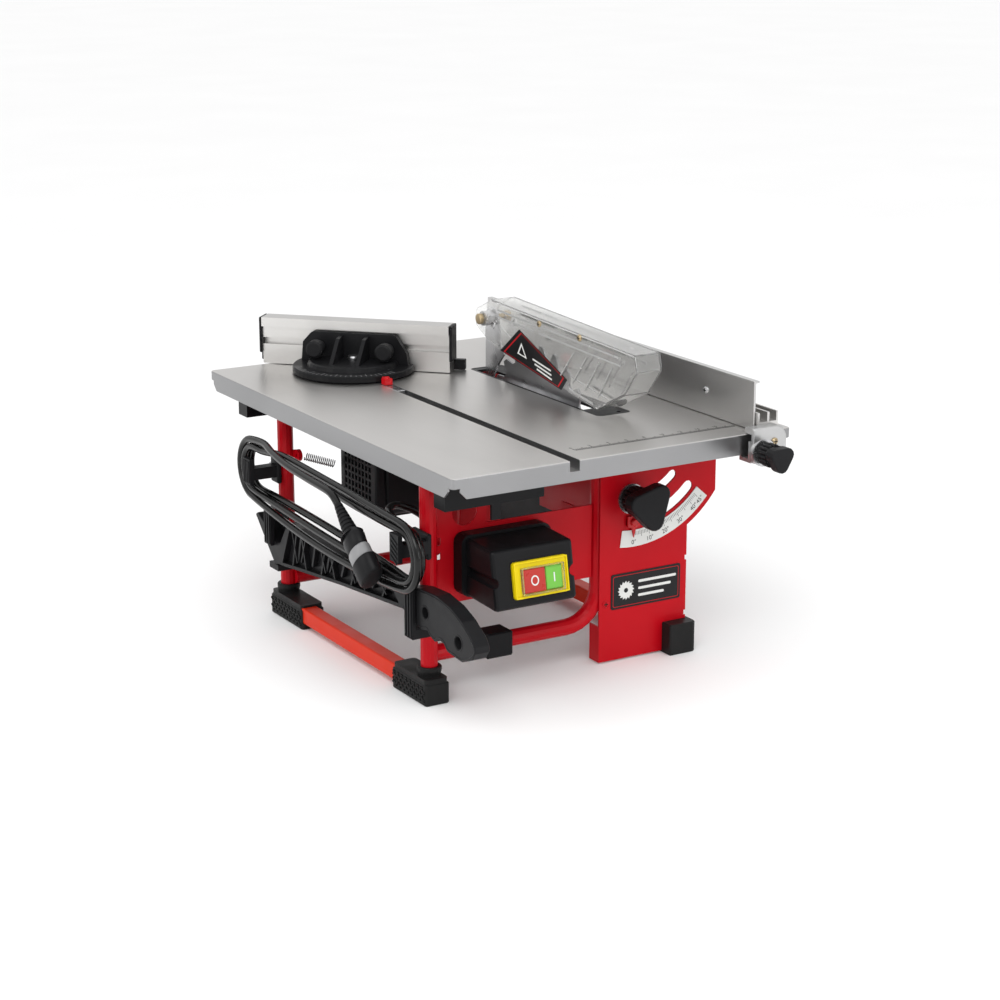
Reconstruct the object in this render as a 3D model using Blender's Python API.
"""Compact bench table saw, modelled as separate pieces in one row frame.

The design frame has X to the operator's right, -Y towards the operator and Z up, with the table centred on
the origin and the feet on the ground. place_in_row_frame moves every piece into the row frame at the end.
Design lengths are in millimetres; every mesh is written in metres.
"""

from math import atan2, cos, degrees, hypot, pi, radians, sin

import bmesh
import bpy
from mathutils import Matrix, Vector

MM = 0.001
GAP = 0.3

# Row frame: the centre of the bounding box in plan, cord left out, goes to the origin.
ROW_SHIFT_X = 10.5
ROW_SHIFT_Y = 14.886

# Table
TABLE_TOP = 232.0
TABLE_HALF_X = 183.0
TABLE_HALF_Y = 252.5
TABLE_SHEET = 2.5
RIM_HEIGHT = 10.0
SKIRT_BOTTOM = 212.5
SKIRT_INSET = 0.0
SKIRT_SHEET = 1.8
MITRE_SLOT_X = -57.4
MITRE_SLOT_WIDTH = 10.4
MITRE_SLOT_DEPTH = 10.0
THROAT = (51.0, 90.0, -125.0, 121.0)
INSERT_SLOT = (55.0, 71.0, -92.0, 112.0)

# Blade and tilt
BLADE_X = 64.0
BLADE_Y = 0.0
BLADE_RADIUS = 100.0
CUT_HEIGHT = 45.0
BLADE_Z = TABLE_TOP + CUT_HEIGHT - BLADE_RADIUS
BLADE_SHEET = 2.2
BLADE_TEETH = 24
TILT_X = 62.0
TILT_Z = 225.0
LOCK_ARC = 64.0
LOCK_ANGLE = -3.4
POINTER_ARC = 87.0
POINTER_ANGLE = -1.0
SCALE_INNER = 95.5
SCALE_OUTER = 112.0
PANEL_ARC = 117.5

# Frame
TUBE_RADIUS = 8.0
LEG_X = -160.0
FRONT_Y = -168.0
REAR_Y = 125.0
FRONT_RUN_Y = -161.0
REAR_RUN_Y = 118.0
RISER_X = 28.0
LOW_RUN_Z = 41.0
LEG_TOP = 229.0
PANEL_SHEET = 1.7
PANEL_LEFT = 24.0
PANEL_RIGHT = 124.4
PANEL_TOP_RIGHT = 157.0
BAR_SIDE = 16.0
BAR_Z = 14.5
LEFT_BAR_X = -164.7
RIGHT_BAR_X = 111.0

# Guard and riving knife
BOLT_Y = 92.5
BOLT_Z = 290.0
GUARD_HALF = 14.5
GUARD_WALL = 2.0

# Fence
FENCE_X = 144.0
FENCE_HEIGHT = 47.0
KNOB_X = 134.0
KNOB_Z = 219.0

# Mitre gauge
GAUGE_Y = 172.0
GAUGE_ANGLE = -45.0
GAUGE_RADIUS = 63.0
GAUGE_ENDS = (-103.0, 99.5)
GAUGE_SCREW_Z = 24.5

# Switch
SWITCH_TILT = atan2(10.0, 55.0)

# Cord
CORD_RADIUS = 3.6

BLACK = (0.018, 0.018, 0.020)
RED = (0.50, 0.008, 0.012)
ZINC = (0.60, 0.60, 0.61)
STEEL = (0.55, 0.55, 0.56)
YELLOW = (0.85, 0.68, 0.02)
WHITE = (0.85, 0.85, 0.84)


def clear_scene():
    for item in list(bpy.data.objects):
        bpy.data.objects.remove(item, do_unlink=True)


def paint(item, colour, roughness, metallic):
    material = bpy.data.materials.new(item.name + "_material")
    material.use_nodes = True
    shader = material.node_tree.nodes["Principled BSDF"]
    shader.inputs["Base Color"].default_value = (*colour, 1.0)
    shader.inputs["Roughness"].default_value = roughness
    shader.inputs["Metallic"].default_value = metallic
    item.data.materials.clear()
    item.data.materials.append(material)
    return item


def mesh_object(name, points, faces):
    """An object from points in millimetres, with its faces turned outwards."""
    mesh = bpy.data.meshes.new(name)
    mesh.from_pydata([Vector(p) * MM for p in points], [], faces)
    work = bmesh.new()
    work.from_mesh(mesh)
    bmesh.ops.recalc_face_normals(work, faces=work.faces)
    work.to_mesh(mesh)
    work.free()
    item = bpy.data.objects.new(name, mesh)
    bpy.context.scene.collection.objects.link(item)
    return item


def placed(axis, first, second, along):
    """A point from its two plane coordinates and its coordinate along the axis."""
    if axis == "X":
        return (along, first, second)
    if axis == "Y":
        return (first, along, second)
    return (first, second, along)


def prism(name, outline, axis, low, high):
    """A closed outline in the plane across an axis, run from low to high along it."""
    count = len(outline)
    points = [placed(axis, a, b, low) for a, b in outline]
    points += [placed(axis, a, b, high) for a, b in outline]
    faces = [tuple(range(count)), tuple(range(2 * count - 1, count - 1, -1))]
    for i in range(count):
        j = (i + 1) % count
        faces.append((i, j, j + count, i + count))
    return mesh_object(name, points, faces)


def box(name, x0, x1, y0, y1, z0, z1):
    return prism(name, [(x0, y0), (x1, y0), (x1, y1), (x0, y1)], "Z", z0, z1)


def circle(cx, cy, radius, count, start=0.0):
    step = 2 * pi / count
    return [(cx + radius * cos(start + i * step), cy + radius * sin(start + i * step)) for i in range(count)]


def rod(name, axis, first, second, radius, low, high, count=20):
    return prism(name, circle(first, second, radius, count), axis, low, high)


def rounded(corners, radius, steps=4):
    """A polygon with rounded corners: of the given radius, or of its own where a corner holds one."""
    outline = []
    count = len(corners)
    for i in range(count):
        here = corners[i]
        size = here[2] if len(here) > 2 else radius
        p = Vector(here[:2])
        to_last = (Vector(corners[i - 1][:2]) - p).normalized()
        to_next = (Vector(corners[(i + 1) % count][:2]) - p).normalized()
        half = to_last.angle(to_next) / 2
        if size <= 0 or half > pi / 2 - 0.02:
            outline.append((p.x, p.y))
            continue
        reach = size / max(0.05, abs(sin(half) / cos(half)))
        centre = p + (to_last + to_next).normalized() * (size / sin(half))
        begin = p + to_last * reach - centre
        end = p + to_next * reach - centre
        turn = begin.angle_signed(end)
        for k in range(steps + 1):
            spoke = begin.copy()
            spoke.rotate(Matrix.Rotation(-turn * k / steps, 2))
            outline.append((centre.x + spoke.x, centre.y + spoke.y))
    return outline


def arc_points(cx, cz, radius, start, end, count):
    """Points on a circle, each angle measured in degrees from straight down towards +X."""
    points = []
    for i in range(count + 1):
        angle = radians(start + (end - start) * i / count)
        points.append((cx + radius * sin(angle), cz - radius * cos(angle)))
    return points


def ring_sector(name, inner, outer, start, end, y0, y1, round_ends=False):
    """A sector of a ring about the tilt axis, as thick as y0 to y1."""
    outline = arc_points(TILT_X, TILT_Z, outer, start, end, 14)
    if round_ends:
        outline += end_cap(inner, outer, end, 1)
    outline += reversed(arc_points(TILT_X, TILT_Z, inner, start, end, 14))
    if round_ends:
        outline += end_cap(inner, outer, start, -1)
    return prism(name, outline, "Y", y0, y1)


def end_cap(inner, outer, angle, side):
    """The round end of an arc slot, without its two corner points."""
    middle = (inner + outer) / 2
    half = (outer - inner) / 2
    angle = radians(angle)
    cx, cz = TILT_X + middle * sin(angle), TILT_Z - middle * cos(angle)
    points = []
    for i in range(1, 6):
        turn = pi * i / 6
        radial = half * cos(turn) * side
        along = half * sin(turn) * side
        points.append(
            (
                cx + radial * sin(angle) + along * cos(angle),
                cz - radial * cos(angle) + along * sin(angle),
            )
        )
    return points


def sweep(name, path, radius, count=20):
    """A round bar along a path of points, with flat ends."""
    path = [Vector(p) for p in path]
    tangents = []
    for i, here in enumerate(path):
        before = path[max(i - 1, 0)]
        after = path[min(i + 1, len(path) - 1)]
        tangents.append((after - before).normalized())
    side = tangents[0].orthogonal().normalized()
    points = []
    for here, tangent in zip(path, tangents):
        side = (side - tangent * side.dot(tangent)).normalized()
        other = tangent.cross(side)
        for i in range(count):
            turn = 2 * pi * i / count
            points.append(here + side * (radius * cos(turn)) + other * (radius * sin(turn)))
    rings = len(path)
    faces = [tuple(range(count)), tuple((rings - 1) * count + i for i in reversed(range(count)))]
    for ring in range(rings - 1):
        for i in range(count):
            j = (i + 1) % count
            low, high = ring * count, (ring + 1) * count
            faces.append((low + i, low + j, high + j, high + i))
    return mesh_object(name, points, faces)


def bend(centre, across, up, radius, start, end, steps=8):
    """Points of a quarter bend in the plane of two unit vectors."""
    centre, across, up = Vector(centre), Vector(across), Vector(up)
    points = []
    for i in range(steps + 1):
        turn = radians(start + (end - start) * i / steps)
        points.append(centre + across * (radius * cos(turn)) + up * (radius * sin(turn)))
    return points


def turned(name, profile, axis, first, second, count=24):
    """A body of revolution: profile holds (along, radius) pairs, the ends being closed on the axis."""
    points = []
    for along, radius in profile:
        for a, b in circle(first, second, radius, count):
            points.append(placed(axis, a, b, along))
    rings = len(profile)
    faces = [tuple(range(count)), tuple((rings - 1) * count + i for i in reversed(range(count)))]
    for ring in range(rings - 1):
        for i in range(count):
            j = (i + 1) % count
            low, high = ring * count, (ring + 1) * count
            faces.append((low + i, low + j, high + j, high + i))
    return mesh_object(name, points, faces)


def combine(item, others, operation):
    for number, other in enumerate(others):
        modifier = item.modifiers.new(f"{operation.title()} {number}", "BOOLEAN")
        modifier.solver = "EXACT"
        modifier.operation = operation
        modifier.object = other
        other.hide_render = True
        other.display_type = "WIRE"
        other.hide_set(True)
    return item


def cut(item, *cutters):
    return combine(item, cutters, "DIFFERENCE")


def join(item, *others):
    return combine(item, others, "UNION")


def soften(item, width, segments=1, angle=40.0):
    """A small bevel on every sharp edge."""
    modifier = item.modifiers.new("Soft edges", "BEVEL")
    modifier.width = width * MM
    modifier.segments = segments
    modifier.limit_method = "ANGLE"
    modifier.angle_limit = radians(angle)
    modifier.harden_normals = False
    modifier.use_clamp_overlap = True
    return item


def turn_mesh(item, matrix):
    """Moves an object's mesh, and with it the meshes that its Booleans use."""
    item.data.transform(matrix)
    for modifier in item.modifiers:
        if modifier.type == "BOOLEAN":
            turn_mesh(modifier.object, matrix)
    return item


def gauge_matrix():
    """Carries a mesh drawn with the gauge square, its pivot at the origin, to its place on the table."""
    pivot = Vector((MITRE_SLOT_X, GAUGE_Y, TABLE_TOP)) * MM
    return Matrix.Translation(pivot) @ Matrix.Rotation(radians(GAUGE_ANGLE), 4, "Z")


def on_gauge(*items):
    for item in items:
        turn_mesh(item, gauge_matrix())


def switch_matrix():
    """Carries a mesh drawn with the switch face in the plane Y = 0, facing -Y, to the leaning face."""
    place = Vector((0.0, -227.0, 122.0)) * MM
    return Matrix.Translation(place) @ Matrix.Rotation(-SWITCH_TILT, 4, "X")


# ---------------------------------------------------------------- table


def make_table():
    corner = [(-TABLE_HALF_X, -TABLE_HALF_Y), (TABLE_HALF_X, -TABLE_HALF_Y)]
    corner += [(TABLE_HALF_X, TABLE_HALF_Y), (-TABLE_HALF_X, TABLE_HALF_Y)]
    table = prism("table_top", rounded(corner, 4.0), "Z", TABLE_TOP - RIM_HEIGHT, TABLE_TOP)
    soften(table, 1.2, 3)
    inner = SKIRT_INSET + SKIRT_SHEET
    x, y = TABLE_HALF_X - inner, TABLE_HALF_Y - inner
    cut(table, box("table_hollow", -x, x, -y, y, TABLE_TOP - RIM_HEIGHT - 5, TABLE_TOP - TABLE_SHEET))
    join(table, *skirts())
    low = TABLE_TOP - MITRE_SLOT_DEPTH - SKIRT_SHEET
    half = MITRE_SLOT_WIDTH / 2
    wall = half + SKIRT_SHEET
    edge = TABLE_HALF_Y - 0.4
    channel = box("slot_channel", MITRE_SLOT_X - wall, MITRE_SLOT_X + wall, -edge, edge, low, TABLE_TOP - 0.7)
    join(table, channel)
    slot = box("slot_cut", MITRE_SLOT_X - half, MITRE_SLOT_X + half, -260, 260, low + SKIRT_SHEET, 240)
    x0, x1, y0, y1 = THROAT
    throat = prism("throat_cut", rounded([(x0, y0), (x1, y0), (x1, y1), (x0, y1)], 6.0), "Z", 200, 240)
    cut(table, slot, throat)
    return paint(table, ZINC, 0.3, 0.9)


def skirts():
    """The four hanging walls, each with chamfered ends that leave the table's corners open."""
    top, low = TABLE_TOP - RIM_HEIGHT + 2, SKIRT_BOTTOM
    made = []
    for name, axis, half, across in (
        ("skirt_left", "X", TABLE_HALF_Y, -TABLE_HALF_X),
        ("skirt_right", "X", TABLE_HALF_Y, TABLE_HALF_X),
        ("skirt_front", "Y", TABLE_HALF_X, -TABLE_HALF_Y),
        ("skirt_rear", "Y", TABLE_HALF_X, TABLE_HALF_Y),
    ):
        end = half - 8
        outline = [(-end, top), (-end, low + 6.5), (-end + 6.5, low)]
        outline += [(end - 6.5, low), (end, low + 6.5), (end, top)]
        outer = across - SKIRT_INSET if across > 0 else across + SKIRT_INSET
        inner = outer - SKIRT_SHEET if across > 0 else outer + SKIRT_SHEET
        made.append(prism(name, outline, axis, min(outer, inner), max(outer, inner)))
    return made


def make_throat_insert():
    x0, x1, y0, y1 = THROAT
    corners = [(x0 + GAP, y0 + GAP), (x1 - GAP, y0 + GAP), (x1 - GAP, y1 - GAP), (x0 + GAP, y1 - GAP)]
    insert = prism("throat_insert", rounded(corners, 5.7), "Z", TABLE_TOP - 3.0, TABLE_TOP - 0.4)
    cut(insert, box("insert_slot", *INSERT_SLOT, 220, 240))
    for number, y in enumerate((y0 + 9, y1 - 7)):
        cut(insert, rod(f"insert_screw_hole_{number}", "Z", 80, y, 2.2, 220, 240, 24))
    return paint(insert, BLACK, 0.55, 0.0)


def make_cross_rail(name, y0, y1):
    """A dark folded channel under the table, open upwards, with one hanging tab."""
    rail = box(name, -169, -66, y0, y1, 191.5, 211.5)
    cut(rail, box(name + "_hollow", -167, -68, y0 + 2, y1 - 2, 193.5, 220))
    join(rail, box(name + "_tab", -121, -111.5, y0, y0 + 3, 177, 193))
    return paint(rail, BLACK, 0.5, 0.1)


# ---------------------------------------------------------------- frame


def make_tube_frame(name, leg_y, run_y):
    """An upright leg and a low run that bends up into a riser, welded together."""
    leg = [(LEG_X, leg_y, 6.0), (LEG_X, leg_y, 120.0), (LEG_X, leg_y, LEG_TOP)]
    frame = sweep(name, leg, TUBE_RADIUS, 14)
    big = 36.0
    run = [(LEG_X + 3.0, run_y, LOW_RUN_Z), (-90, run_y, LOW_RUN_Z)]
    run += bend((RISER_X - big, run_y, LOW_RUN_Z + big), (0, 0, -1), (1, 0, 0), big, 0, 90)
    run += [(RISER_X, run_y, 140.0), (RISER_X, run_y, LEG_TOP - 1)]
    join(frame, sweep(name + "_riser", run, TUBE_RADIUS - 0.05, 14))
    if leg_y > 0:
        lug = prism(name + "_lug", circle(109.5, 169.0, 6.0, 20), "X", -155.5, -151.5)
        arm = box(name + "_lug_arm", -155.5, -151.5, 109.5, 120, 165.5, 172.5)
        join(frame, arm, lug)
        cut(frame, rod(name + "_lug_hole", "X", 109.5, 169.0, 2.0, -165, -148, 16))
    return paint(frame, RED, 0.3, 0.0)


def make_foot_bar(name, x, ends):
    low, high = BAR_Z - BAR_SIDE / 2, BAR_Z + BAR_SIDE / 2
    half = BAR_SIDE / 2
    bar = box(name, x - half, x + half, ends[0], ends[1], low, high)
    soften(bar, 1.5, 2)
    return paint(bar, RED, 0.3, 0.0)


def make_left_foot(name, y_leg, y0, y1):
    """A sleeve over the end of the low bar, with a collar round the leg."""
    outline = rounded([(-174.5, y0), (-149.0, y0), (-149.0, y1), (-174.5, y1)], 3.0)
    foot = prism(name, outline, "Z", 0.0, 20.5)
    soften(foot, 1.0)
    saddle = rounded([(-173.5, y0 + 1), (-150.0, y0 + 1), (-150.0, y1 - 1), (-173.5, y1 - 1)], 4.0)
    join(foot, prism(name + "_saddle", saddle, "Z", 18.0, 25.0))
    collar = [(10, 11.4), (26, 10.8), (29, 11.6), (32.0, 11.6), (33.0, 10.8)]
    join(foot, turned(name + "_collar", collar, "Z", LEG_X, y_leg))
    half = BAR_SIDE / 2 + GAP
    bar_x = LEFT_BAR_X
    bore = rod(name + "_bore", "Z", LEG_X, y_leg, TUBE_RADIUS + GAP, 5.5, 50, 24)
    toward = (y0 - 5, y_leg) if y_leg > (y0 + y1) / 2 else (y_leg, y1 + 5)
    pocket = box(name + "_pocket", bar_x - half, bar_x + half, *toward, BAR_Z - half, BAR_Z + half)
    cut(foot, bore, pocket)
    return paint(foot, BLACK, 0.6, 0.0)


def make_right_foot(name, y0, y1, panel_low, panel_high):
    """A foot over the panel's outer bottom corner and the end of the low bar behind it."""
    outside = y0 if abs(y0) > abs(y1) else y1
    inside = y1 if outside == y0 else y0
    outline = rounded([(97, outside), (128, outside, 5), (128, inside), (97, inside)], 2.0)
    foot = prism(name, outline, "Z", 0.0, 31.0)
    soften(foot, 1.0)
    half = BAR_SIDE / 2 + GAP
    slit = box(name + "_slit", 60, PANEL_RIGHT + GAP, panel_low - GAP, panel_high + GAP, 2 - GAP, 50)
    reach = sorted([(panel_low + panel_high) / 2, inside + (5 if inside > outside else -5)])
    pocket = box(name + "_pocket", RIGHT_BAR_X - half, RIGHT_BAR_X + half, *reach, BAR_Z - half, BAR_Z + half)
    cut(foot, slit, pocket)
    return paint(foot, BLACK, 0.6, 0.0)


SWITCH_SHEET_Y = (-163.0, -161.3)


def panel_outline():
    outline = [(PANEL_LEFT, 2.0), (PANEL_RIGHT, 2.0)]
    start = arc_angle(PANEL_RIGHT)
    outline += arc_points(TILT_X, TILT_Z, PANEL_ARC, start, arc_angle(PANEL_TOP_RIGHT), 12)
    outline += [(PANEL_TOP_RIGHT, LEG_TOP), (PANEL_LEFT, LEG_TOP)]
    return outline


def arc_angle(x):
    """Where the fan of the panel's outline passes this X, in degrees from straight down."""
    reach = x - TILT_X
    return degrees(atan2(reach, (PANEL_ARC**2 - reach**2) ** 0.5))


def make_panel(name, y0, y1, inward):
    """The upright sheet at one end, with the two arc slots that carry the tilting unit."""
    panel = prism(name, panel_outline(), "Y", y0, y1)
    reach = (y1 - 0.5, y1 + 15) if inward > 0 else (y0 - 15, y0 + 0.5)
    join(panel, box(name + "_flange", PANEL_LEFT, PANEL_LEFT + PANEL_SHEET, *reach, 2.0, 38.0))
    slot = ring_sector(name + "_lock_slot", LOCK_ARC - 4.5, LOCK_ARC + 4.5, -4.6, 43.0, y0 - 5, y1 + 5, True)
    inner, outer = POINTER_ARC - 5.5, POINTER_ARC + 5.5
    guide = ring_sector(name + "_guide_slot", inner, outer, -2.5, 45.5, y0 - 5, y1 + 5, True)
    notches = []
    for z in (34, 90):
        notches.append(box(f"{name}_notch_{z}", PANEL_RIGHT - 2, PANEL_RIGHT + 5, y0 - 5, y1 + 5, z, z + 5))
    cut(panel, slot, guide, *notches)
    return paint(panel, RED, 0.3, 0.0)


def make_bevel_scale(y_front):
    scale = ring_sector("bevel_scale", SCALE_INNER, SCALE_OUTER, -8.0, 49.0, y_front - 0.9, y_front - GAP)
    return paint(scale, WHITE, 0.5, 0.0)


def make_switch_mount():
    """The upright sheet between the front leg and the riser that carries the switch."""
    x0, x1 = LEG_X + TUBE_RADIUS + GAP, RISER_X - TUBE_RADIUS - GAP
    y0, y1 = SWITCH_SHEET_Y
    outline = [(x0, 87), (x1, 87), (x1, 158.5), (-96, 158.5), (-96, 189), (x0, 189)]
    plate = prism("switch_mount_plate", outline, "Y", y0, y1)
    join(plate, box("mount_return", 2.0, 2.0 + PANEL_SHEET, y1 - 0.5, y1 + 24, 96, 158.5))
    hole = rod("mount_hole", "Y", -119, 172, 13.0, y0 - 5, y1 + 5, 40)
    holes = [box(f"mount_window_{z}", x0 + 1.4, x0 + 7.4, y0 - 5, y1 + 5, z, z + 7) for z in (144, 130)]
    cut(plate, hole, *holes)
    return paint(plate, RED, 0.3, 0.0)


def make_tool_clip():
    """A block round the low front tube."""
    clip = box("tool_clip", -101, -73, FRONT_RUN_Y - 12, FRONT_RUN_Y + 12, LOW_RUN_Z - 12.5, LOW_RUN_Z + 11.5)
    soften(clip, 1.2)
    cut(clip, rod("clip_bore", "X", FRONT_RUN_Y, LOW_RUN_Z, TUBE_RADIUS + GAP, -120, -60, 24))
    return paint(clip, BLACK, 0.6, 0.0)


# ---------------------------------------------------------------- switch


def make_switch():
    """The switch box, its leaning faceplate and the two push buttons that pass through it."""
    back = SWITCH_SHEET_Y[0] - GAP
    outline = rounded([(back, 97), (-232, 94.5), (-222, 149.5), (back, 152)], 4.0)
    housing = prism("switch_box", outline, "X", -126, -40)
    soften(housing, 3.0, 2, 50)
    flange = rounded([(-131, 95), (-35, 95), (-35, 154), (-131, 154)], 9.0)
    join(housing, prism("switch_flange", flange, "Y", -178, back))
    groove = rod("switch_groove", "Y", -126, 121, 5.0, -240, -179, 20)
    far_groove = rod("switch_far_groove", "Y", -40, 121, 6.0, -240, -179, 20)
    corners = [(-107.3, -18.8), (-48.7, -18.8), (-48.7, 15.8), (-107.3, 15.8)]
    pocket = prism("switch_pocket", rounded(corners, 3.0), "Y", -12, 2.3)
    well = box("switch_well", -100.5, -53.5, 0.0, 14.0, -16, 10)
    for item in (pocket, well):
        turn_mesh(item, switch_matrix())
    cut(housing, groove, far_groove, pocket, well)
    paint(housing, BLACK, 0.5, 0.0)

    corners = [(-107, -18.5), (-49, -18.5), (-49, 15.5), (-107, 15.5)]
    plate = prism("switch_faceplate", rounded(corners, 3.0), "Y", -2.5, 2.0)
    windows = [box("off_window", -98.0 - GAP, -74.8 + GAP, -10, 10, -14 - GAP, 8 + GAP)]
    windows.append(box("on_window", -73.6 - GAP, -56.0 + GAP, -10, 10, -14 - GAP, 8 + GAP))
    off = box("off_button", -98.0, -74.8, -5.5, 7.0, -14, 8)
    on = box("on_button", -73.6, -56.0, -3.8, 7.0, -14, 8)
    for item in (plate, off, on, *windows):
        turn_mesh(item, switch_matrix())
    soften(off, 1.2, 2)
    soften(on, 1.2, 2)
    cut(plate, *windows)
    paint(plate, YELLOW, 0.45, 0.0)
    paint(off, (0.62, 0.01, 0.01), 0.4, 0.0)
    paint(on, (0.02, 0.42, 0.10), 0.4, 0.0)
    set_origin(off, (-86.4, -227, 122))
    set_origin(on, (-64.8, -227, 122))
    return housing


# ---------------------------------------------------------------- tilting unit


def make_tilt_carriage():
    """Two end plates behind the panels, joined by a web beside the blade; it hangs in the arc slots."""
    front_y, rear_y = PANEL_FRONT_Y[1] + 0.4, PANEL_REAR_Y[0] - 0.4
    web_x = (45.0, 47.5)
    low, high = 122.0, 205.0
    end = [(web_x[0], low), (78, low), (78, high), (web_x[0], high)]
    carriage = prism("tilt_carriage", end, "Y", front_y, front_y + 2)
    rear = prism("carriage_rear", end, "Y", rear_y - 2, rear_y)
    web = box("carriage_web", web_x[0], web_x[1], front_y + 1, rear_y - 1, low, high)
    join(carriage, rear, web)
    corners = [(-29, 100), (29, 100), (29, 202.6), (-29, 202.6)]
    window = prism("carriage_window", rounded(corners, 12.0), "X", 30, 60)
    cut(carriage, window)
    holes = ((LOCK_ARC, LOCK_ANGLE, 3.6), (POINTER_ARC, POINTER_ANGLE, 2.9))
    for number, (radius, angle, size) in enumerate(holes):
        x, z = arc_points(TILT_X, TILT_Z, radius, angle, angle, 1)[0]
        cut(carriage, rod(f"carriage_hole_{number}", "Y", x, z, size, -200, 200, 24))
    set_origin(carriage, (TILT_X, 0, TILT_Z))
    return paint(carriage, RED, 0.35, 0.0)


def make_lock_knob(y_panel):
    """The three-lobed bevel lock, its screw passing through the front arc slot."""
    x, z = arc_points(TILT_X, TILT_Z, LOCK_ARC, LOCK_ANGLE, LOCK_ANGLE, 1)[0]
    corners = []
    for turn in (45.0, -75.0, 165.0):
        corners.append((x + 34 * cos(radians(turn)), z + 34 * sin(radians(turn))))
    knob = prism("bevel_lock_knob", rounded(corners, 9.5, 5), "Y", y_panel - 38, y_panel - 24)
    soften(knob, 2.0, 2, 50)
    neck = [(-28, 14.0), (-20, 13.0), (-8, 12.2), (-5.2, 12.2)]
    join(knob, turned("lock_neck", [(y_panel + a, r) for a, r in neck], "Y", x, z, 24))
    join(knob, turned("lock_ring", [(y_panel - 5.4, 13.0), (y_panel - 2.2, 13.0)], "Y", x, z, 32))
    join(knob, turned("lock_collar", [(y_panel - 2.6, 8.5), (y_panel - GAP, 8.5)], "Y", x, z, 28))
    join(knob, rod("lock_screw", "Y", x, z, 3.0, y_panel - 10, y_panel + 9, 24))
    paint(knob, BLACK, 0.5, 0.0)
    set_origin(knob, (x, y_panel - 30, z))


def make_bevel_pointer(y_panel):
    """The red pointer on its guide stud, which runs in the outer arc slot."""
    x, z = arc_points(TILT_X, TILT_Z, POINTER_ARC, POINTER_ANGLE, POINTER_ANGLE, 1)[0]
    outline = [(x - 7, z + 6), (x + 7, z + 6), (x + 7, z - 4), (x + 2.2, z - 6)]
    outline += [(x, z - 15), (x - 2.2, z - 6), (x - 7, z - 4)]
    pointer = prism("bevel_pointer", outline, "Y", y_panel - 3.4, y_panel - 1.6)
    join(pointer, rod("pointer_stud", "Y", x, z, 2.5, y_panel - 3, y_panel + 8, 20))
    head = [(y_panel - 6.4, 3.0), (y_panel - 5.6, 3.9), (y_panel - 3, 3.9)]
    join(pointer, turned("pointer_screw_head", head, "Y", x, z, 24))
    return paint(pointer, RED, 0.4, 0.0)


def make_rear_guide(y_panel):
    """The locking bolt in the rear arc slot."""
    x, z = arc_points(TILT_X, TILT_Z, LOCK_ARC, LOCK_ANGLE, LOCK_ANGLE, 1)[0]
    profile = [(GAP, 8.5), (2.0, 8.5), (2.3, 6.0), (7.5, 6.0)]
    bolt = turned("rear_guide_bolt", [(y_panel + a, r) for a, r in profile], "Y", x, z, 6)
    join(bolt, rod("rear_guide_shank", "Y", x, z, 3.0, y_panel - 6.5, y_panel + 4, 24))
    return paint(bolt, STEEL, 0.35, 0.9)


def make_motor():
    """The motor housing, its end cap and the gear case that carries the arbor."""
    cy, cz, half = 45.5, 158.5, 38.5
    corners = [(cy - half, cz - half), (cy + half, cz - half), (cy + half, cz + half), (cy - half, cz + half)]
    motor = prism("motor_housing", rounded(corners, 16.0, 6), "X", -108, -56)
    soften(motor, 1.5)
    case = [(-44, 136), (84, 136), (84, 198), (-44, 198)]
    join(motor, prism("gear_case", rounded(case, 14.0, 6), "X", -58, 14))
    nose = [(12, 27.0), (38, 26.0), (40.5, 24.8), (48.5, 24.5)]
    join(motor, turned("gear_nose", nose, "X", BLADE_Y, BLADE_Z, 32))
    plate = [(-60, 148), (60, 148), (60, 203), (-60, 203)]
    slide = prism("slide_plate", rounded(plate, 6.0), "X", 41.0, 44.6)
    join(motor, slide, box("slide_arm", 10, 42.5, -52, 52, 184, 194))
    cut(motor, rod("arbor_seat", "X", BLADE_Y, BLADE_Z, 8.2, 34, 60, 24))
    paint(motor, BLACK, 0.45, 0.0)
    cap = prism("motor_end_cap", rounded(corners, 16.0, 6), "X", -120, -108 - GAP)
    soften(cap, 3.0, 2, 50)
    grille = rounded([(cy - 29, cz - 29), (cy + 29, cz - 29), (cy + 29, cz + 29), (cy - 29, cz + 29)], 12.0)
    cut(cap, prism("cap_grille", grille, "X", -130, -118.2))
    paint(cap, BLACK, 0.5, 0.0)
    return motor


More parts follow.
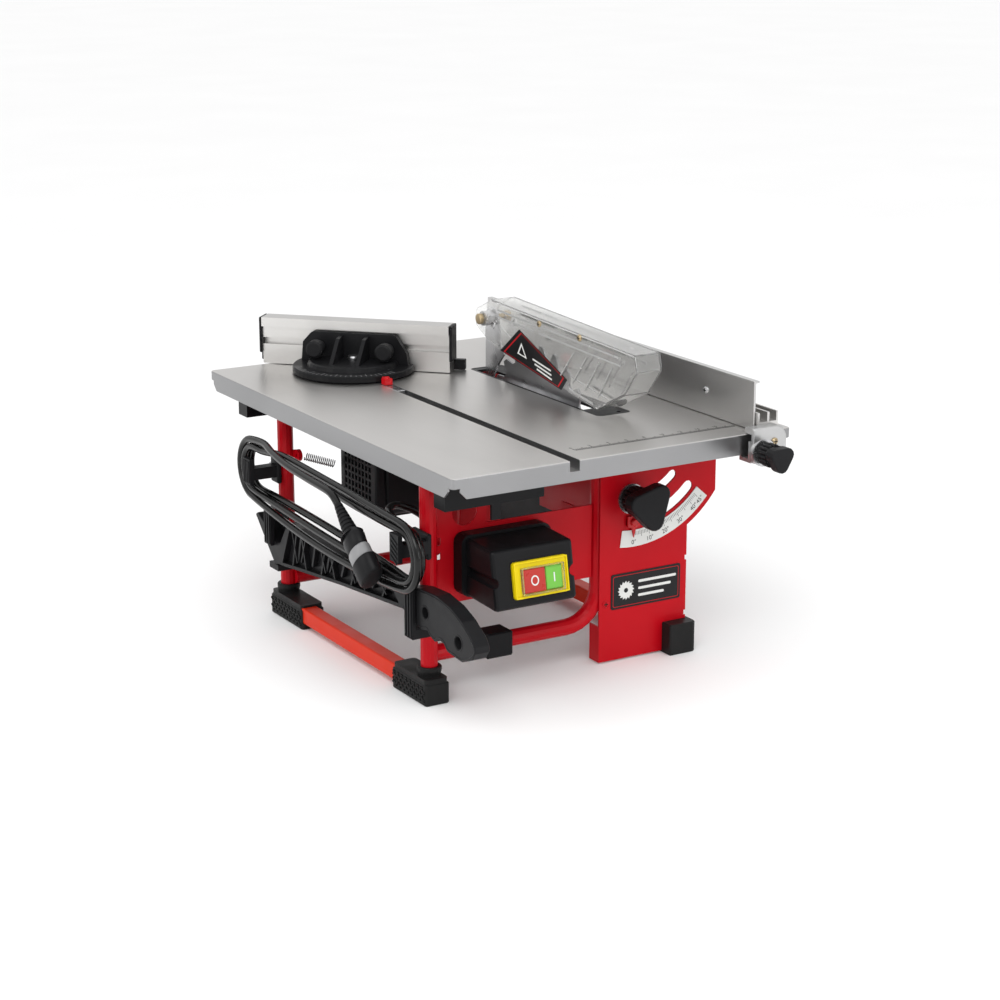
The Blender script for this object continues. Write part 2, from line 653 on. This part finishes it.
def make_arbor():
    """Shaft, flanges, blade and nut, which turn together."""
    near, far = BLADE_X - BLADE_SHEET / 2, BLADE_X + BLADE_SHEET / 2
    shaft = rod("arbor_shaft", "X", BLADE_Y, BLADE_Z, 7.7, 36, far + 15, 32)
    soften(shaft, 0.6, 1)
    paint(shaft, STEEL, 0.3, 0.95)
    profile = [(near - 7, 20.0), (near - 4, 24.5), (near - GAP, 24.5)]
    inner = turned("arbor_inner_flange", profile, "X", BLADE_Y, BLADE_Z, 40)
    cut(inner, rod("inner_flange_bore", "X", BLADE_Y, BLADE_Z, 8.0, 40, 90, 32))
    paint(inner, STEEL, 0.35, 0.9)
    profile = [(far + GAP, 24.5), (far + 3, 24.5), (far + 5.4, 18.0)]
    outer = turned("arbor_outer_flange", profile, "X", BLADE_Y, BLADE_Z, 40)
    cut(outer, rod("outer_flange_bore", "X", BLADE_Y, BLADE_Z, 8.0, 40, 90, 32))
    paint(outer, STEEL, 0.35, 0.9)
    nut = rod("arbor_nut", "X", BLADE_Y, BLADE_Z, 11.0, far + 5.4 + GAP, far + 14, 6)
    cut(nut, rod("nut_bore", "X", BLADE_Y, BLADE_Z, 8.0, 60, 90, 32))
    paint(nut, STEEL, 0.35, 0.95)
    blade = prism("saw_blade", blade_outline(), "X", near, far)
    cut(blade, rod("blade_bore", "X", BLADE_Y, BLADE_Z, 8.0, 50, 90, 32))
    paint(blade, STEEL, 0.25, 0.95)
    for item in (shaft, inner, outer, nut, blade):
        set_origin(item, (BLADE_X, BLADE_Y, BLADE_Z))


def blade_outline():
    """One gullet and one tooth for each of the teeth, the rake pointing forward over the top."""
    outline = []
    step = 2 * pi / BLADE_TEETH
    for tooth in range(BLADE_TEETH):
        turn = tooth * step
        for radius, part in ((BLADE_RADIUS, 0.0), (BLADE_RADIUS - 1.0, 0.24), (89.0, 0.55), (88.0, 0.8)):
            angle = turn + part * step
            outline.append((BLADE_Y + radius * cos(angle), BLADE_Z + radius * sin(angle)))
    return outline


def make_lower_cover():
    """The box round the lower blade, open at the top, with its dust outlet on the right."""
    top = 200.0
    outline = []
    for i in range(20):
        turn = radians(168 + i * 9.05)
        outline.append((BLADE_Y + 108 * cos(turn), BLADE_Z + 108 * sin(turn)))
    outline += [(120, 138), (120, top)]
    cover = prism("lower_blade_cover", outline, "X", 50.0, 86.0)
    inside = []
    for i in range(20):
        turn = radians(168 + i * 9.05)
        inside.append((BLADE_Y + 105.8 * cos(turn), BLADE_Z + 105.8 * sin(turn)))
    inside[0] = (inside[0][0], top + 10)
    inside += [(117.8, 140), (117.8, top + 10)]
    hollow = prism("cover_hollow", inside, "X", 52.0, 84.0)
    hole = rod("cover_arbor_hole", "X", BLADE_Y, BLADE_Z, 28.0, 30, 53, 40)
    cut(cover, hollow, hole)
    join(cover, turned("dust_port", [(84.5, 19.0), (110, 18.5)], "X", 60, 110, 40))
    cut(cover, turned("dust_bore", [(75, 16.6), (115, 16.4)], "X", 60, 110, 40))
    return paint(cover, BLACK, 0.55, 0.0)


def make_riving_knife():
    """The splitter behind the blade; its front edge follows the blade and its top holds the guard's bolt."""
    outline = [(116.5, 150), (116.5, 199), (107, 232), (107, 262), (103, 296), (98, 301)]
    outline += [(88, 301), (82, 296), (76, 268)]
    for i in range(11):
        turn = radians(48 - i * 6.2)
        outline.append((BLADE_Y + 105 * cos(turn), BLADE_Z + 105 * sin(turn)))
    knife = prism("riving_knife", outline, "X", BLADE_X - 1.0, BLADE_X + 1.0)
    cut(knife, rod("knife_bolt_hole", "X", BOLT_Y, BOLT_Z, 3.3, 50, 90, 24))
    for number, z in enumerate((165, 188)):
        cut(knife, rod(f"knife_clamp_hole_{number}", "X", 110.5, z, 2.3, 50, 90, 20))
    return paint(knife, STEEL, 0.35, 0.9)


def guard_outline():
    return [
        (74, 313), (93, 303.5), (102, 300), (106.3, 291), (103, 281), (92, 275), (70.3, 266.1),
        (-123.3, 238.5), (-170, 261), (-191, 287), (-187, 303),
    ]


def make_guard():
    """A clear box over the blade, open below and behind, hinged on the riving knife."""
    shape = rounded(guard_outline(), 2.5, 2)
    left, right = BLADE_X - GUARD_HALF, BLADE_X + GUARD_HALF
    guard = prism("guard_shell", shape, "X", left, right)
    soften(guard, 0.8)
    wall = GUARD_WALL
    hollow = [
        (120, 340), (74, 340), (74, 313 - wall), (-185, 303 - wall), (-188.8, 287.4),
        (-168.8, 263), (-121, 240), (-117, 230), (70, 230), (120, 230),
    ]
    cut(guard, prism("guard_hollow", hollow, "X", left + wall, right - wall))
    cut(guard, rod("guard_bolt_hole", "X", BOLT_Y, BOLT_Z, 3.3, 0, 120, 24))
    cut(guard, rod("guard_side_hole", "X", 70, 287, 3.5, 0, 120, 24))
    paint(guard, (0.75, 0.77, 0.78), 0.08, 0.0)
    shader = guard.data.materials[0].node_tree.nodes["Principled BSDF"]
    shader.inputs["Alpha"].default_value = 0.35
    set_origin(guard, (BLADE_X, BOLT_Y, BOLT_Z))


def make_guard_pivot():
    """The bolt through guard and knife, and the spacer sleeve on it."""
    left, right = BLADE_X - GUARD_HALF, BLADE_X + GUARD_HALF
    bolt = turned(
        "guard_pivot_bolt",
        [(left - 4.5, 4.5), (left - 3.8, 5.5), (left - GAP, 5.5), (left - GAP + 0.01, 3.0), (right + 2, 3.0)],
        "X", BOLT_Y, BOLT_Z, 24,
    )
    join(bolt, rod("guard_pivot_nut", "X", BOLT_Y, BOLT_Z, 6.2, right + GAP, right + 6, 6))
    paint(bolt, (0.62, 0.42, 0.14), 0.35, 0.9)
    sleeve = rod("guard_sleeve", "X", BOLT_Y, BOLT_Z, 7.5, left + GUARD_WALL + GAP, BLADE_X - 1 - GAP, 28)
    cut(sleeve, rod("sleeve_bore", "X", BOLT_Y, BOLT_Z, 3.0 + GAP, 30, 80, 24))
    paint(sleeve, STEEL, 0.4, 0.9)
    set_origin(bolt, (BLADE_X, BOLT_Y, BOLT_Z))
    set_origin(sleeve, (BLADE_X, BOLT_Y, BOLT_Z))


def make_spring():
    """The tension spring between the rear leg's lug and the motor, a coil drawn as its wire."""
    start, end = Vector((-147.6, 105.8, 167.7)), Vector((-124.2, 87.0, 161.0))
    along = (end - start).normalized()
    side = along.cross(Vector((0, 0, 1))).normalized()
    other = along.cross(side)
    length = (end - start).length
    turns, steps = 16, 6
    path = []
    for i in range(turns * steps + 1):
        part = i / (turns * steps)
        turn = 2 * pi * turns * part
        path.append(start + along * (length * part) + side * (3.8 * cos(turn)) + other * (3.8 * sin(turn)))
    spring = sweep("tension_spring", path, 0.55, 4)
    return paint(spring, STEEL, 0.3, 0.95)


# ---------------------------------------------------------------- rip fence


def make_rip_fence():
    base = TABLE_TOP + 0.5
    top = TABLE_TOP + FENCE_HEIGHT
    outline = [(FENCE_X, base), (FENCE_X + 2, base), (FENCE_X + 2, top - 2), (FENCE_X + 6, top - 2)]
    outline += [(FENCE_X + 6, top), (FENCE_X, top)]
    plate = prism("fence_plate", outline, "Y", -246, 240)
    soften(plate, 0.5, 2)
    paint(plate, ZINC, 0.3, 0.9)
    x0, x1 = FENCE_X + 2 + GAP, FENCE_X + 26
    low, high = TABLE_TOP + 1, TABLE_TOP + 17
    section = [
        (x0, low), (x1, low), (x1, high), (x1 - 2, high),
        (x1 - 2, low + 7), (x1 - 10, low + 7), (x1 - 10, high),
        (x1 - 12.5, high), (x1 - 12.5, low + 7), (x0 + 2.5, low + 7), (x0 + 2.5, high), (x0, high),
    ]
    profile = prism("fence_profile", section, "Y", -249, 236)
    paint(profile, (0.7, 0.7, 0.71), 0.3, 0.9)


def make_fence_head():
    """The clamp head in front of the table, the hook jaw behind the skirt and the clamp knob."""
    plate = rounded([(128.5, 206.5), (166, 206.5, 3), (166, 240, 12), (128.5, 240, 2)], 3.0, 6)
    head = prism("fence_clamp_head", plate, "Y", -268, -263.4)
    soften(head, 0.8, 2)
    join(head, box("head_tongue", 132, 164, -266, -249 - GAP, TABLE_TOP + 0.6, TABLE_TOP + 6))
    join(head, turned("head_boss", [(-270.5, 8.5), (-267, 9.0)], "Y", KNOB_X, KNOB_Z, 28))
    cut(head, rod("head_bore", "Y", KNOB_X, KNOB_Z, 2.7 + GAP, -290, -240, 24))
    paint(head, ZINC, 0.4, 0.8)
    section = [(-262.8, 206.5), (-245.6, 206.5), (-245.6, 221), (-248.6, 221)]
    section += [(-248.6, 210), (-259, 210), (-259, 227), (-262.8, 227)]
    jaw = prism("fence_clamp_jaw", section, "X", 129, 165)
    cut(jaw, rod("jaw_bore", "Y", KNOB_X, KNOB_Z, 2.7 + GAP, -290, -255, 24))
    paint(jaw, ZINC, 0.45, 0.8)
    corners = []
    for turn in (150.0, 30.0, -90.0):
        corners.append((KNOB_X + 20 * cos(radians(turn)), KNOB_Z + 20 * sin(radians(turn))))
    knob = prism("fence_clamp_knob", rounded(corners, 6.5, 4), "Y", -306, -294)
    soften(knob, 1.5, 2, 50)
    neck = [(-296, 11), (-291, 9), (-277, 8.0), (-276, 8.0)]
    join(knob, turned("fence_knob_neck", neck, "Y", KNOB_X, KNOB_Z, 24))
    join(knob, rod("fence_knob_ring", "Y", KNOB_X, KNOB_Z, 9.2, -276.5, -274.0, 28))
    join(knob, rod("fence_knob_screw", "Y", KNOB_X, KNOB_Z, 2.7, -280, -259.6, 20))
    paint(knob, BLACK, 0.5, 0.0)
    set_origin(knob, (KNOB_X, -290, KNOB_Z))


# ---------------------------------------------------------------- mitre gauge


def make_mitre_gauge():
    half = MITRE_SLOT_WIDTH / 2 - 0.5
    low, high = TABLE_TOP - 9.4, TABLE_TOP - 0.1
    bar = box("mitre_bar", MITRE_SLOT_X - half, MITRE_SLOT_X + half, 69, 247, low, high)
    soften(bar, 0.5, 1)
    paint(bar, STEEL, 0.35, 0.95)
    y = GAUGE_Y - GAUGE_RADIUS - 14
    nib = prism("mitre_pointer", [
        (MITRE_SLOT_X - 4.2, y), (MITRE_SLOT_X + 4.2, y), (MITRE_SLOT_X + 4.2, y + 8),
        (MITRE_SLOT_X, y + 13.4), (MITRE_SLOT_X - 4.2, y + 8),
    ], "Z", TABLE_TOP + 0.4, TABLE_TOP + 6.5)
    head = [(TABLE_TOP + 6, 2.8), (TABLE_TOP + 8, 2.6)]
    join(nib, turned("pointer_head", head, "Z", MITRE_SLOT_X, y + 4.2, 20))
    paint(nib, (0.6, 0.01, 0.01), 0.4, 0.0)

    base = mitre_base()
    front, back = 13.0, 30.0
    section = [
        (front, 0.8), (back, 0.8), (back, 50.0), (front - 4, 50.0), (front - 4, 40.5), (front, 40.5),
        (front, 28.5), (front + 6, 28.5), (front + 6, 21.5), (front, 21.5),
    ]
    fence = prism("mitre_fence", section, "X", *GAUGE_ENDS)
    paint(fence, (0.7, 0.7, 0.71), 0.3, 0.9)
    caps = []
    first, last = GAUGE_ENDS
    ends = (("mitre_cap_left", first - 3.0, first - GAP), ("mitre_cap_right", last + GAP, last + 3.0))
    for name, x0, x1 in ends:
        cap = box(name, x0, x1, front - 3.5, back, 12.5, 50.0)
        soften(cap, 0.8, 1)
        caps.append(paint(cap, BLACK, 0.55, 0.0))
    strip = box("mitre_back_strip", -111, 111, back + GAP, back + 7.0, 0.6, 11.5)
    soften(strip, 0.6, 1)
    paint(strip, BLACK, 0.55, 0.0)
    knobs = [mitre_knob("mitre_knob_left", -37), mitre_knob("mitre_knob_right", 37)]
    on_gauge(base, fence, *caps, strip, *knobs)
    for item in (base, fence, *caps, strip):
        set_origin(item, (MITRE_SLOT_X, GAUGE_Y, TABLE_TOP))
    for item, u in zip(knobs, (-37, 37)):
        place = gauge_matrix() @ (Vector((u, 0, GAUGE_SCREW_Z)) * MM)
        set_origin(item, tuple(place / MM))


def mitre_base():
    """The round foot with its raised hub and the upright that holds the fence."""
    front = 12.6
    half = degrees(atan2(front, (GAUGE_RADIUS**2 - front**2) ** 0.5))
    arc = []
    for i in range(33):
        turn = radians(180 - half + i * (180 + 2 * half) / 32)
        arc.append((GAUGE_RADIUS * cos(turn), GAUGE_RADIUS * sin(turn)))
    base = prism("mitre_base", arc, "Z", 0.8, 8.0)
    soften(base, 1.0, 1, 50)
    drum = turned("gauge_drum", [(7.5, 48.0), (12.0, 46.5), (13.0, 45.0)], "Z", 0, 0, 40)
    cut(drum, box("drum_trim", -80, 80, front - 0.5, 80, -5, 60))
    upright = rounded([(-58, 5), (58, 5, 2), (56, 20, 6), (44, 39, 4), (-46, 39, 6), (-56, 28, 4)], 2.0)
    join(base, drum, prism("gauge_wall", upright, "Y", 4.0, front))
    for number, u in enumerate((-14, 14)):
        join(base, prism(f"gauge_rib_{number}", [(-36, 10), (6, 10), (6, 37), (-8, 35)], "X", u - 2, u + 2))
    for number, u in enumerate((-37, 37)):
        cut(base, rod(f"gauge_screw_hole_{number}", "Y", u, GAUGE_SCREW_Z, 2.8, -30, 30, 20))
    return paint(base, BLACK, 0.5, 0.0)


def mitre_knob(name, u):
    """A small lobed knob whose screw clamps the fence to the upright."""
    z = GAUGE_SCREW_Z
    knob = turned(name, [(-19, 7.0), (-17.5, 9.0), (-8.5, 9.0), (-7, 7.5)], "Y", u, z, 18)
    join(knob, rod(name + "_boss", "Y", u, z, 5.5, -8, 4.0 - GAP, 20))
    join(knob, rod(name + "_screw", "Y", u, z, 2.4, 0, 12.2, 20))
    return paint(knob, BLACK, 0.5, 0.0)


# ---------------------------------------------------------------- left side stowage


def make_hook(name, leg_y, arm_y, z, height):
    """A winding hook: a pad on the leg, an arm outwards and an upright lip at its end."""
    inner = LEG_X - TUBE_RADIUS - GAP
    low, high = min(leg_y - 8, arm_y - 6), max(leg_y + 8, arm_y + 6)
    hook = box(name, inner - 5, inner, low, high, z - height / 2, z + height / 2)
    soften(hook, 1.2)
    join(hook, box(name + "_arm", HANK_X[0] - 2, inner - 3, arm_y - 6, arm_y + 6, z - 6, z + 6))
    join(hook, box(name + "_lip", HANK_X[0] - 5, HANK_X[0] - 0.6, arm_y - 8, arm_y + 8, z - 10, z + 16))
    return paint(hook, BLACK, 0.55, 0.0)


def make_rear_holder():
    """The rear cradle: a shelf under the push stick, a ribbed strip outside it and an arm above its fork."""
    name = "stick_holder_rear"
    inner = LEG_X - TUBE_RADIUS - GAP
    y0, y1 = 104, 118
    holder = box(name, STICK_X[0] - 4.5, inner, y0, y1, 113, 118.5)
    join(holder, box(name + "_strip", STICK_X[0] - 4.5, STICK_X[0] - 0.5, y0, y1, 81, 118.5))
    join(holder, box(name + "_pad", STICK_X[1] + 0.2, inner, y0, REAR_Y + 6, 55, 118.5))
    join(holder, box(name + "_shelf", STICK_X[0], inner, y0 - 6, y1, 55, 61.2))
    soften(holder, 0.6, 1)
    return paint(holder, BLACK, 0.6, 0.0)


def make_front_holder():
    """The front cradle: a pad on the leg, an arm under the push stick and a ribbed strip outside it."""
    name = "stick_holder_front"
    inner = LEG_X - TUBE_RADIUS - GAP
    y0, y1 = -189, -175
    holder = box(name, STICK_X[0] - 4.5, inner, y0, y1, 68, 78)
    join(holder, box(name + "_pad", STICK_X[1] + 0.2, inner, y0, FRONT_Y + 6, 68, 78))
    join(holder, box(name + "_strip", STICK_X[0] - 4.5, STICK_X[0] - 0.5, y0, y1, 68, 117))
    soften(holder, 0.6, 1)
    return paint(holder, BLACK, 0.6, 0.0)


def make_push_stick():
    """A slim bar between two flanges, forked behind, with a curved, finger-grooved handle in front."""
    corners = [
        (148, 103, 1), (143, 106, 1), (100, 84, 3), (92, 87, 3), (74, 112, 3), (47, 112, 0),
        (-39, 107.5, 0), (-119, 103.5, 8),
        (-150, 106, 8), (-175, 114, 8), (-195, 118, 6), (-225, 119.5, 10), (-250, 115.5, 10), (-270, 108, 10),
        (-288, 97, 6), (-295, 88, 5), (-288, 78, 5), (-270, 71, 6), (-255, 72, 4), (-244, 73, 3),
        (-238, 78.5, 2.5), (-230, 79.5, 2.5), (-222, 75.5, 3), (-214, 78, 3), (-208, 82.5, 3),
        (-200, 80.5, 3), (-192, 80, 3), (-184, 84, 3),
        (-163, 89.8, 3), (-37.6, 78.1, 0), (48.7, 68.4, 0), (105.8, 61.7, 1),
    ]
    middle = sum(STICK_X) / 2
    stick = prism("push_stick", rounded(corners, 2.0, 2), "X", *STICK_X)
    soften(stick, 0.5, 1, 60)
    field = [(88, 67), (70, 106), (47, 108.5), (-39, 104), (-119, 100), (-146, 102)]
    field += [(-156, 93), (-37.6, 81.5), (48, 72)]
    fields = [
        prism("stick_field_near", field, "X", STICK_X[0] - 5, middle - 1.2),
        prism("stick_field_far", field, "X", middle + 1.2, STICK_X[1] + 5),
    ]
    cut(stick, *fields)
    ribs = []
    for number in range(7):
        y = 66 - number * 31
        low, high = 66.5 + (105 - y) * 0.1045 - 3, 109 - number * 0.9
        lean = 11 if number % 2 else -11
        shape = [(y - 1.2, low), (y + 1.2, low), (y + 1.2 + lean, high), (y - 1.2 + lean, high)]
        ribs.append(prism(f"stick_rib_{number}", shape, "X", STICK_X[0] + 0.6, STICK_X[1] - 0.6))
    join(stick, *ribs)
    cut(stick, rod("stick_hang_hole", "X", -264, 87, 6.0, -200, -150, 28))
    cut(stick, rod("stick_hole_a", "X", -176, 101, 4.5, -200, -150, 20))
    cut(stick, rod("stick_hole_b", "X", -205, 98, 5.5, -200, -150, 20))
    return paint(stick, BLACK, 0.55, 0.0)


# ---------------------------------------------------------------- cord

STICK_X = (-184.3, -169.6)

# The hank's two ends go round the hooks: each holds Y, Z and outer radius.
HANK_REAR = (124.0, 158.0, 26.0)
HANK_FRONT = (-184.0, 147.0, 27.0)
HANK_BAND = 11.0
HANK_X = (-199.0, -184.8)

LEAD_ROUTE = [
    (-188.5, -155.0, 179.2), (-186.2, -142.6, 181.0), (-179.5, -133.4, 181.6), (-170.0, -127.6, 179.5),
    (-160.0, -125.2, 174.6), (-148.0, -124.8, 167.4), (-136.0, -122.6, 157.5), (-124.5, -120.0, 147.5),
    (-114.5, -120.6, 138.3), (-107.0, -125.0, 131.5), (-102.0, -133.0, 127.5), (-100.0, -144.0, 126.2),
    (-99.5, -152.0, 126.0), (-99.5, -160.6, 126.0),
]


def hank_outline(inset, steps=14):
    """The outline round both ends of the hank, drawn in from the outside by the inset."""
    outline = []
    for (y, z, radius), middle in ((HANK_REAR, 0.0), (HANK_FRONT, pi)):
        for i in range(steps + 1):
            turn = middle - pi / 2 + pi * i / steps
            outline.append((y + (radius - inset) * cos(turn), z + (radius - inset) * sin(turn)))
    return outline


def make_hank():
    """The wound cord: one closed loop over the two hooks."""
    hank = prism("cord_hank", hank_outline(0.0), "X", *HANK_X)
    soften(hank, 3.0, 2, 50)
    cut(hank, prism("hank_hollow", hank_outline(HANK_BAND), "X", -220, -160))
    return paint(hank, BLACK, 0.5, 0.0)


def smooth_route(route, spacing):
    """Evenly spaced points on a smooth curve through the route's points."""
    points = [Vector(p) for p in route]
    padded = [points[0] * 2 - points[1], *points, points[-1] * 2 - points[-2]]
    fine = []
    for i in range(1, len(padded) - 2):
        p0, p1, p2, p3 = padded[i - 1 : i + 3]
        for k in range(24):
            t = k / 24
            square = 2 * p0 - 5 * p1 + 4 * p2 - p3
            cube = 3 * p1 - p0 - 3 * p2 + p3
            fine.append(0.5 * (2 * p1 + (p2 - p0) * t + square * t**2 + cube * t**3))
    fine.append(points[-1])
    total = sum((b - a).length for a, b in zip(fine, fine[1:]))
    count = max(2, round(total / spacing))
    even = [fine[0]]
    walked, target = 0.0, total / count
    for a, b in zip(fine, fine[1:]):
        step = (b - a).length
        while walked + step >= target - 1e-9 and len(even) < count:
            even.append(a.lerp(b, (target - walked) / step))
            target += total / count
        walked += step
    even.append(fine[-1])
    return even


def make_lead():
    """The free stretch from the hank to the back of the switch."""
    curve = bpy.data.curves.new("cord_lead", "CURVE")
    curve.dimensions = "3D"
    curve.bevel_depth = CORD_RADIUS * MM
    curve.bevel_resolution = 3
    curve.use_fill_caps = True
    spline = curve.splines.new("POLY")
    path = smooth_route(LEAD_ROUTE, 5 * CORD_RADIUS)
    spline.points.add(len(path) - 1)
    for point, place in zip(spline.points, path):
        point.co = (*(place * MM), 1.0)
    lead = bpy.data.objects.new("cord_lead", curve)
    bpy.context.scene.collection.objects.link(lead)
    return paint(lead, BLACK, 0.5, 0.0)


def make_plug():
    """A moulded plug hung on the hank, pins down."""
    profile = [(0, 4.6), (14, 6.0), (22, 9.0), (30, 15.5), (36, 17.0), (58, 17.0), (60, 15.5)]
    plug = turned("cord_plug", profile, "Z", 0, 0, 32)
    flat = Matrix.Diagonal((0.62, 1.0, 1.0, 1.0))
    turn_mesh(plug, flat)
    for number, y in enumerate((-9.5, 9.5)):
        pin = turned(f"plug_pin_{number}", [(59, 2.4), (76, 2.4), (78, 1.6)], "Z", 0, y, 16)
        join(plug, pin)
    turn_mesh(plug, plug_matrix())
    return paint(plug, BLACK, 0.5, 0.0)


def plug_matrix():
    place = Vector((-209.9, -92.0, 170.0)) * MM
    return Matrix.Translation(place) @ Matrix.Rotation(radians(180 - 50), 4, "X")


# ---------------------------------------------------------------- assembly

PANEL_FRONT_Y = (FRONT_RUN_Y - TUBE_RADIUS - GAP - PANEL_SHEET, FRONT_RUN_Y - TUBE_RADIUS - GAP)
PANEL_REAR_Y = (REAR_RUN_Y + TUBE_RADIUS + GAP, REAR_RUN_Y + TUBE_RADIUS + GAP + PANEL_SHEET)
PANEL_BACK_FRONT = PANEL_FRONT_Y[1]
PANEL_BACK_REAR = PANEL_REAR_Y[0]


def set_origin(item, place):
    """Moves an object's origin to a point of the design frame, leaving its shape where it is."""
    offset = Vector(place) * MM
    item.data.transform(Matrix.Translation(-offset))
    item.location = offset


def place_in_row_frame():
    shift = Vector((ROW_SHIFT_X, ROW_SHIFT_Y, 0.0)) * MM
    for item in bpy.data.objects:
        item.location = item.location + shift


def main():
    clear_scene()
    make_table()
    make_throat_insert()
    make_cross_rail("front_cross_rail", -215, -195)
    make_cross_rail("rear_cross_rail", 195, 215)
    make_tube_frame("front_tube_frame", FRONT_Y, FRONT_RUN_Y)
    make_tube_frame("rear_tube_frame", REAR_Y, REAR_RUN_Y)
    make_foot_bar("left_foot_bar", LEFT_BAR_X, (FRONT_Y + TUBE_RADIUS + GAP, REAR_Y - TUBE_RADIUS - GAP))
    make_foot_bar("right_foot_bar", RIGHT_BAR_X, (PANEL_FRONT_Y[1] + GAP, PANEL_REAR_Y[0] - GAP))
    make_left_foot("foot_front_left", FRONT_Y, -187, -122)
    make_left_foot("foot_rear_left", REAR_Y, 67, 138)
    make_right_foot("foot_front_right", -185.6, -158.0, *PANEL_FRONT_Y)
    make_right_foot("foot_rear_right", 115.0, 142.6, *PANEL_REAR_Y)
    make_panel("front_panel", *PANEL_FRONT_Y, 1)
    make_panel("rear_panel", *PANEL_REAR_Y, -1)
    make_bevel_scale(PANEL_FRONT_Y[0])
    make_switch_mount()
    make_tool_clip()
    make_switch()
    make_tilt_carriage()
    make_lock_knob(PANEL_FRONT_Y[0])
    make_bevel_pointer(PANEL_FRONT_Y[0])
    make_rear_guide(PANEL_REAR_Y[1])
    make_motor()
    make_arbor()
    make_lower_cover()
    make_riving_knife()
    make_guard()
    make_guard_pivot()
    make_spring()
    make_rip_fence()
    make_fence_head()
    make_mitre_gauge()
    make_hook("cable_hook_rear", REAR_Y, 124, 153, 26)
    make_hook("cable_hook_front", FRONT_Y, -184, 153, 24)
    make_rear_holder()
    make_front_holder()
    make_push_stick()
    make_hank()
    make_lead()
    make_plug()
    place_in_row_frame()


main()
